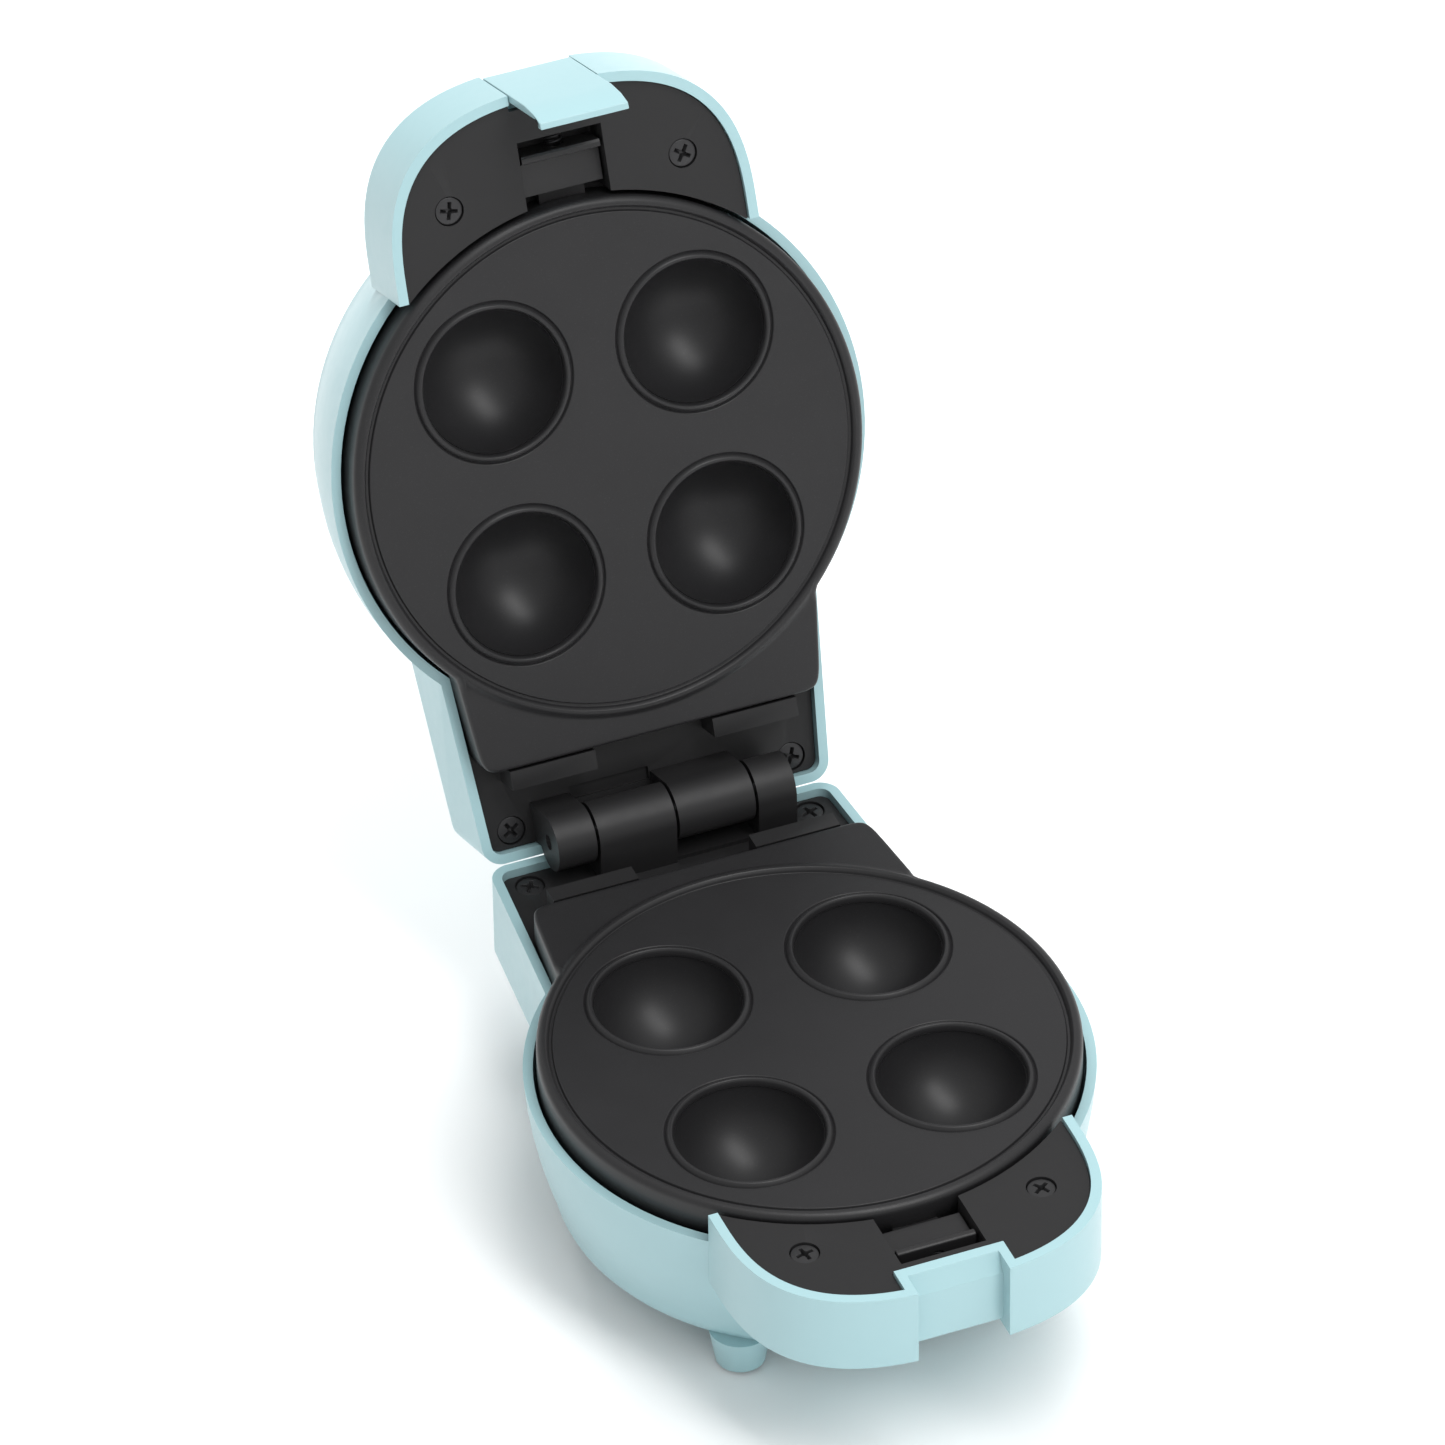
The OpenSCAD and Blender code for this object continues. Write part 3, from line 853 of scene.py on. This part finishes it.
    def rim(self, bearings: np.ndarray) -> np.ndarray:
        """The ring outside the flat: the rim's section along each bearing, the rest of the
        tail, a rounded edge and the side.

        Args:
            bearings: Angles in degrees from the x axis.

        Returns:
            Points of shape (bearings, rows, 3).
        """
        angle = np.radians(bearings)
        ray = np.stack([np.cos(angle), np.sin(angle)], axis=-1)
        edge = self.outline(bearings)
        along = np.roll(edge, -1, axis=0) - np.roll(edge, 1, axis=0)
        along /= np.linalg.norm(along, axis=1, keepdims=True)
        outward = np.stack([along[:, 1], -along[:, 0]], axis=-1)
        inner = np.linspace(self.flat_r, self.rim_start, 24)
        ring = ray[:, None] * inner[:, None]
        reach = np.linalg.norm(edge, axis=1, keepdims=True)
        on_tail = ease((reach - self.plate_r) / self.tail_blend)
        edge_r = self.edge_r + (self.tail_edge_r - self.edge_r) * on_tail
        shoulder = edge - outward * edge_r
        t = (np.linspace(0.0, 1.0, 27)[1:] ** 2)[:, None]
        spread = ring[:, -1:] * (1.0 - t) + shoulder[:, None] * t
        flat = np.concatenate([ring, spread], axis=1)
        level = self.height(np.linalg.norm(flat, axis=2))
        bend = np.radians(np.linspace(0.0, 90.0, 7)[1:])
        rounded = shoulder[:, None] + outward[:, None] * (edge_r * np.sin(bend))[..., None]
        dip = level[:, -1:] - edge_r * (1.0 - np.cos(bend))
        side = np.repeat(edge[:, None], 2, axis=1)
        depth = np.broadcast_to([self.side_top, self.foot], (len(dip), 2))
        outline = np.concatenate([flat, rounded, side], axis=1)
        return np.dstack([outline, np.concatenate([level, dip, depth], axis=1)])

    def build(self, shop: Workshop) -> None:
        """Makes the plate and gives the sheet its thickness.

        Args:
            shop: Where the finished pieces go.
        """
        skin = Skin(f"{self.half.name}_baking_plate", self.half)
        bearings = self.bearings()
        for number in range(4):
            skin.grid(self.quarter(number, bearings), flip=True)
        skin.grid(self.rim(bearings), flip=True)
        piece = skin.build(50.0)
        wall = piece.modifiers.new("wall", "SOLIDIFY")
        wall.thickness = self.sheet_t * MM
        wall.offset = -1.0
        shop.fit(piece, f"{self.half.name}_plate")


@dataclass
class FrameScrews:
    """Four countersunk screws with a flared cross recess.

    A seat is a screw's place, the height of its seat and the turn of its cross in degrees.
    """

    half: Half
    seats: tuple[tuple[float, float, float, float], ...] = (
        (-30.7, -71.8, -1.4, 12.0),
        (30.7, -71.8, -1.4, 33.0),
        (-37.6, 91.7, -10.9, 58.0),
        (37.6, 91.7, -10.9, 21.0),
    )
    head_r: float = 3.45
    head_edge: float = 0.2
    sink: float = 1.5
    head_h: float = 1.3
    dome: float = 0.28
    shank_r: float = 1.45
    shank: float = 9.5
    recess: float = 1.7
    arm: float = 2.3
    arm_half: float = 0.5
    flare: float = 0.35
    flare_r: float = 0.9
    wall_w: float = 0.45
    arm_rise: float = 0.3
    segments: int = 128

    def head(self) -> np.ndarray:
        """The head's face as rings about its axis: a low dome, less a recess that deepens with
        the distance into a cross, whose arms widen and deepen towards the middle.

        Returns:
            Points of shape (angles, rings, 3).
        """
        rim_r = self.head_r - self.head_edge
        radius = np.concatenate([np.linspace(0.0, 2.6, 34), np.linspace(2.7, rim_r, 6)])
        angle = np.linspace(0.0, TURN, self.segments, endpoint=False)[:, None]
        x, y = np.abs(radius * np.cos(angle)), np.abs(radius * np.sin(angle))
        long, short = np.maximum(x, y), np.minimum(x, y)
        half_width = self.arm_half + self.flare * np.clip(self.flare_r - long, 0.0, 1.0)
        into = np.minimum(half_width - short, self.arm - long)
        depth = self.recess * np.clip(into / self.wall_w, 0.0, 1.0)
        depth *= 1.0 - self.arm_rise * long / self.arm
        height = self.dome * (1.0 - (radius / self.head_r) ** 2) - depth
        return np.stack([radius * np.cos(angle), radius * np.sin(angle), height], axis=-1)

    def side(self) -> np.ndarray:
        """The head's rounded edge, its cone and the shank.

        Returns:
            Points of shape (angles, rows, 3).
        """
        rim_r = self.head_r - self.head_edge
        rim = self.dome * (1.0 - (rim_r / self.head_r) ** 2)
        profile = np.array(
            [
                (0.0, -self.shank - self.head_h),
                (self.shank_r * 0.6, -self.shank - self.head_h),
                (self.shank_r, -self.shank - self.head_h + 0.8),
                (self.shank_r, -self.head_h - 0.1),
                (rim_r, -self.head_h),
                (self.head_r, -self.head_h + 0.25),
                (self.head_r, rim - 0.2),
                (self.head_r - 0.06, rim - 0.06),
                (rim_r, rim),
            ]
        )
        return revolved(profile, self.segments)

    def build(self, shop: Workshop) -> None:
        """Makes the four screws as one group.

        Args:
            shop: Where the finished pieces go.
        """
        skin = Skin(f"{self.half.name}_cross_head_screws", self.half)
        lift = self.head_h - self.sink - self.dome
        for x, y, seat, turn in self.seats:
            c, s = math.cos(math.radians(turn)), math.sin(math.radians(turn))
            spin = np.array([[c, s, 0.0], [-s, c, 0.0], [0.0, 0.0, 1.0]])
            at = np.array([x, y, seat + lift])
            skin.grid(self.head() @ spin + at, flip=True)
            skin.grid(self.side() @ spin + at)
        shop.fit(skin.build(28.0), f"{self.half.name}_frame_screws")


@dataclass
class ReleaseSpring:
    """The compression spring between a release button and its well."""

    half: Half
    axis_z: float = -7.2
    button_end: float = -75.5
    well_end: float = -84.45
    mean_r: float = 2.0
    wire_r: float = 0.28
    turns: float = 6.5
    flattening: float = 0.04
    travel: float = 2.5

    def build(self, shop: Workshop) -> None:
        """Makes the spring: a circle carried along a helix whose end turns lie flat.

        Args:
            shop: Where the finished pieces go.
        """
        t = np.linspace(0.0, 1.0, 220)[:, None]
        angle = TURN * self.turns * t
        length = self.button_end - self.well_end - 2.0 * self.wire_r
        rise = t - self.flattening * np.sin(TURN * t)
        along = self.well_end + self.wire_r + length * rise
        section = np.linspace(0.0, TURN, 10, endpoint=False)
        radius = self.mean_r + self.wire_r * np.cos(section)
        grid = np.stack(
            [
                radius * np.cos(angle),
                along + self.wire_r * np.sin(section),
                self.axis_z + radius * np.sin(angle),
            ],
            axis=-1,
        )
        close = np.repeat(grid.mean(axis=1, keepdims=True), grid.shape[1], axis=1)
        grid = np.concatenate([close[:1], grid, close[-1:]])
        skin = Skin(f"{self.half.name}_coil_spring", self.half)
        skin.grid(np.swapaxes(grid, 0, 1))
        piece = shop.fit(skin.build(), f"{self.half.name}_release_spring")
        ends = self.half.place(
            np.array([[0.0, y, self.axis_z] for y in (self.well_end, self.button_end)])
        )
        free = self.button_end - self.well_end
        tuple(ends[1] - ends[0])
        (free - self.travel) / free
        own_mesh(piece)


@dataclass
class SmallTurnings:
    """Foot pads, the mains inlet's gland and the lamp's lens."""

    lower: Half
    upper: Half
    feet: tuple[tuple[float, float], ...] = (
        (37.0, -45.0),
        (-37.0, -45.0),
        (30.0, 84.2),
        (-30.0, 84.2),
    )
    floor: float = -55.5
    pad_r: float = 4.6
    pad_h: float = 3.0
    gland_back: float = 98.93
    gland_z: float = -21.0
    gland_r: float = 6.0
    bore_r: float = 3.6
    shell_t: float = 2.5
    lens_y: float = -30.0
    lens_z: float = -47.5
    lens_r: float = 4.0

    def pads(self, shop: Workshop) -> None:
        """Four rubber pads with a rounded edge and two ribs on the sole.

        Args:
            shop: Where the finished pieces go.
        """
        sole = np.array([0.0, 1.2, 1.3, 1.6, 1.7, 2.7, 2.8, 3.1, 3.2, self.pad_r - 1.1])
        groove = np.array([0.0, 0.0, 0.25, 0.25, 0.0, 0.0, 0.25, 0.25, 0.0, 0.0])
        edge = arc((self.pad_r - 1.1, 0.5), 0.5, -90.0, 0.0, 6)[1:]
        profile = np.concatenate(
            [
                np.stack([sole, groove], axis=-1),
                edge,
                [(self.pad_r, self.pad_h), (0.0, self.pad_h)],
            ]
        )
        skin = Skin("rubber_foot_pads", self.lower)
        for x, y in self.feet:
            skin.grid(revolved(profile, 64) + [x, y, self.floor])
        shop.fit(skin.build(), "foot_pads")

    def gland(self, shop: Workshop) -> None:
        """The inlet's rubber gland: a flange inside, a neck and a ribbed collar with a bore.

        Args:
            shop: Where the finished pieces go.
        """
        r, b, t = self.gland_r, self.bore_r, self.shell_t
        collar = arc((r + 0.8, 1.0), 0.8, 0.0, 90.0, 5)
        profile = np.concatenate(
            [
                [(b, -t - 2.5), (r + 1.4, -t - 2.5), (r + 1.6, -t - 2.3), (r + 1.6, -t - 0.2)],
                [(r + 1.4, -t), (r - 0.02, -t), (r - 0.02, 0.0), (r + 1.6, 0.0), (r + 1.6, 1.0)],
                collar,
                [(r + 0.2, 1.9), (r + 0.2, 2.5), (r + 0.7, 2.7), (r + 0.7, 3.3), (r - 0.1, 3.5)],
                [(r - 0.1, 4.1), (r - 0.3, 4.6), (r - 0.8, 5.0), (b + 0.5, 5.0), (b + 0.1, 4.8)],
                [(b, 4.4), (b, -t - 2.5)],
            ]
        )
        turned = revolved(profile, 72)
        x, down, back = turned[..., 0], turned[..., 1], turned[..., 2]
        grid = np.stack([x, back + self.gland_back, self.gland_z - down], axis=-1)
        skin = Skin("inlet_gland", self.lower).grid(grid)
        shop.fit(skin.build(40.0), "cord_gland")

    def lens(self, shop: Workshop) -> None:
        """The lamp's lens: a low dome with three fine rings, a barrel and a flange inside.

        Args:
            shop: Where the finished pieces go.
        """
        radius = np.linspace(0.0, self.lens_r - 0.35, 30)
        rings = 0.07 * hump((np.mod(radius, 1.1) - 0.55) / 0.5)
        dome = -0.75 * (1.0 - (radius / self.lens_r) ** 2) - rings * (radius > 0.5)
        flange = [(self.lens_r + 1.2, 2.5), (self.lens_r + 1.2, 3.5), (0.0, 3.5)]
        profile = np.concatenate(
            [
                np.stack([radius, dome], axis=-1),
                [(self.lens_r - 0.05, 0.05), (self.lens_r - 0.02, 0.3), (self.lens_r - 0.02, 2.5)],
                flange,
            ]
        )
        grid = revolved(profile, 72) + [0.0, self.lens_y, self.lens_z]
        shop.fit(Skin("lamp_lens", self.upper).grid(grid).build(45.0), "indicator_lens")

    def build(self, shop: Workshop) -> None:
        """Makes the three kinds of small piece.

        Args:
            shop: Where the finished pieces go.
        """
        self.pads(shop)
        self.gland(shop)
        self.lens(shop)


@dataclass
class Mouldings:
    """The shells, inner frames, buttons and latch, with their edges rounded."""

    edges: dict[str, tuple[str, float, int]] = field(
        default_factory=lambda: {
            "lower_housing": ("lower_shell", 0.45, 3),
            "upper_housing": ("upper_shell", 0.45, 3),
            "lower_inner_frame": ("lower_deck_frame", 0.3, 2),
            "upper_inner_frame": ("upper_deck_frame", 0.3, 2),
            "lower_release_button": ("lower_button", 0.35, 3),
            "upper_release_button": ("upper_button", 0.35, 3),
            "latch": ("lid_latch", 0.4, 3),
        }
    )

    def build(self, shop: Workshop) -> None:
        """Makes one rounded piece for each moulding.

        Args:
            shop: Where the finished pieces go.
        """
        for node, (name, edge, segments) in self.edges.items():
            shop.softened(name, node, edge, segments)


# ---- camera, lights and floor ----


@dataclass
class Studio:
    """Camera, soft lights and a pale floor."""

    aim: tuple[float, float, float] = (-0.0009, 0.0053, 0.1147)
    azimuth: float = -21.42
    elevation: float = 39.12
    roll: float = 0.90
    distance: float = 2.94
    lens: float = 300.6
    sensor: float = 36.0
    world: float = 0.66
    # name, place, size, power in watts, whether it shows in reflections
    lamps: tuple[tuple[str, tuple, tuple, float, bool], ...] = (
        ("overhead_strip", (0.3, -0.7, 1.85), (0.5, 1.7), 22.0, True),
        ("back_soft", (0.4, 1.4, 1.6), (1.4, 0.8), 30.0, False),
        ("front_fill", (0.5, -1.9, 0.4), (1.4, 1.0), 9.0, False),
    )

    def camera(self) -> None:
        """The camera looks at the aim from an azimuth and an elevation, turned by the roll."""
        a, e, r = (math.radians(v) for v in (self.azimuth, self.elevation, self.roll))
        right = Vector((math.cos(a), math.sin(a), 0.0))
        down = Vector((math.sin(a) * math.sin(e), -math.cos(a) * math.sin(e), -math.cos(e)))
        ahead = Vector((-math.sin(a) * math.cos(e), math.cos(a) * math.cos(e), -math.sin(e)))
        c, s = math.cos(r), math.sin(r)
        right, down = right * c + down * s, down * c - right * s
        place = Vector(self.aim) - ahead * self.distance
        data = bpy.data.cameras.new("view")
        data.lens = self.lens
        data.sensor_width = self.sensor
        data.clip_end = 20.0
        camera = bpy.data.objects.new("view", data)
        axes = Matrix((right, -down, -ahead)).transposed().to_4x4()
        camera.matrix_world = Matrix.Translation(place) @ axes
        bpy.context.scene.collection.objects.link(camera)
        bpy.context.scene.camera = camera

    def lamp(self, name: str, place: tuple, size: tuple, power: float, shine: bool) -> None:
        """A rectangular soft light that faces the object.

        Args:
            name: The light's name.
            place: Where it hangs, in metres.
            size: Its width and height in metres.
            power: Its power in watts.
            shine: Whether it shows in reflections.
        """
        data = bpy.data.lights.new(name, "AREA")
        data.shape = "RECTANGLE"
        data.size, data.size_y = size
        data.energy = power
        lamp = bpy.data.objects.new(name, data)
        lamp.location = place
        lamp.rotation_euler = (Vector(self.aim) - Vector(place)).to_track_quat("-Z", "Y").to_euler()
        lamp.visible_glossy = shine
        bpy.context.scene.collection.objects.link(lamp)

    def floor(self) -> None:
        """A wide sheet of pale card with a faint tooth."""
        side = np.linspace(-6.0, 6.0, 13)
        x, y = np.meshgrid(side, side, indexing="ij")
        z = np.zeros_like(x)
        number = np.arange(x.size).reshape(x.shape)
        quads = np.stack(
            [number[:-1, :-1], number[1:, :-1], number[1:, 1:], number[:-1, 1:]], axis=-1
        )
        mesh = bpy.data.meshes.new("floor")
        points = np.stack([x, y, z], axis=-1).reshape(-1, 3)
        mesh.from_pydata(points.tolist(), [], quads.reshape(-1, 4).tolist())
        floor = bpy.data.objects.new("floor", mesh)
        bpy.context.scene.collection.objects.link(floor)
        card = Moulding("pale_card", (0.93, 0.93, 0.93), 0.005, 0.9, 0.02, 1.0, 0.01, 0.05)
        mesh.materials.append(card.material())

    def build(self) -> None:
        """Sets up the view and the light."""
        self.camera()
        self.floor()
        scene = bpy.context.scene
        scene.view_settings.view_transform = "Standard"
        world = bpy.data.worlds.new("studio")
        world.use_nodes = True
        background = world.node_tree.nodes["Background"]
        background.inputs["Color"].default_value = (1.0, 1.0, 1.0, 1.0)
        background.inputs["Strength"].default_value = self.world
        scene.world = world
        for name, place, size, power, shine in self.lamps:
            self.lamp(name, place, size, power, shine)


def halves(frame: dict) -> tuple[Half, Half]:
    """The two halves, from the frame's hinge and the lower plate's box.


    Returns:
        The lower and the upper half.
    """
    hinge = next(joint for joint in frame["joints"] if joint["name"] == "lid_hinge")
    pivot = Vector(hinge["pos_m"])
    low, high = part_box("lower_plate")
    mid_y = low.y + (high.x - low.x) / 2.0
    opening = math.radians(hinge["range_deg"][1])
    return (
        Half("lower", pivot, mid_y, 0.0, False),
        Half("upper", pivot, mid_y, -opening, True),
    )


def main() -> None:
    """Builds the studio and every sub-assembly in order."""
    logging.basicConfig(level=logging.INFO, format="%(message)s")
    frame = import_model()
    Studio().build()
    shop = Workshop(frame)
    shop.dress_rest()
    lower, upper = halves(frame)
    Mouldings().build(shop)
    for half in (lower, upper):
        BakingPlate(half).build(shop)
        FrameScrews(half).build(shop)
        ReleaseSpring(half).build(shop)
    SmallTurnings(lower, upper).build(shop)
    log.info("%d pieces stand for nodes", shop.made)


if __name__ == "__main__":
    main()
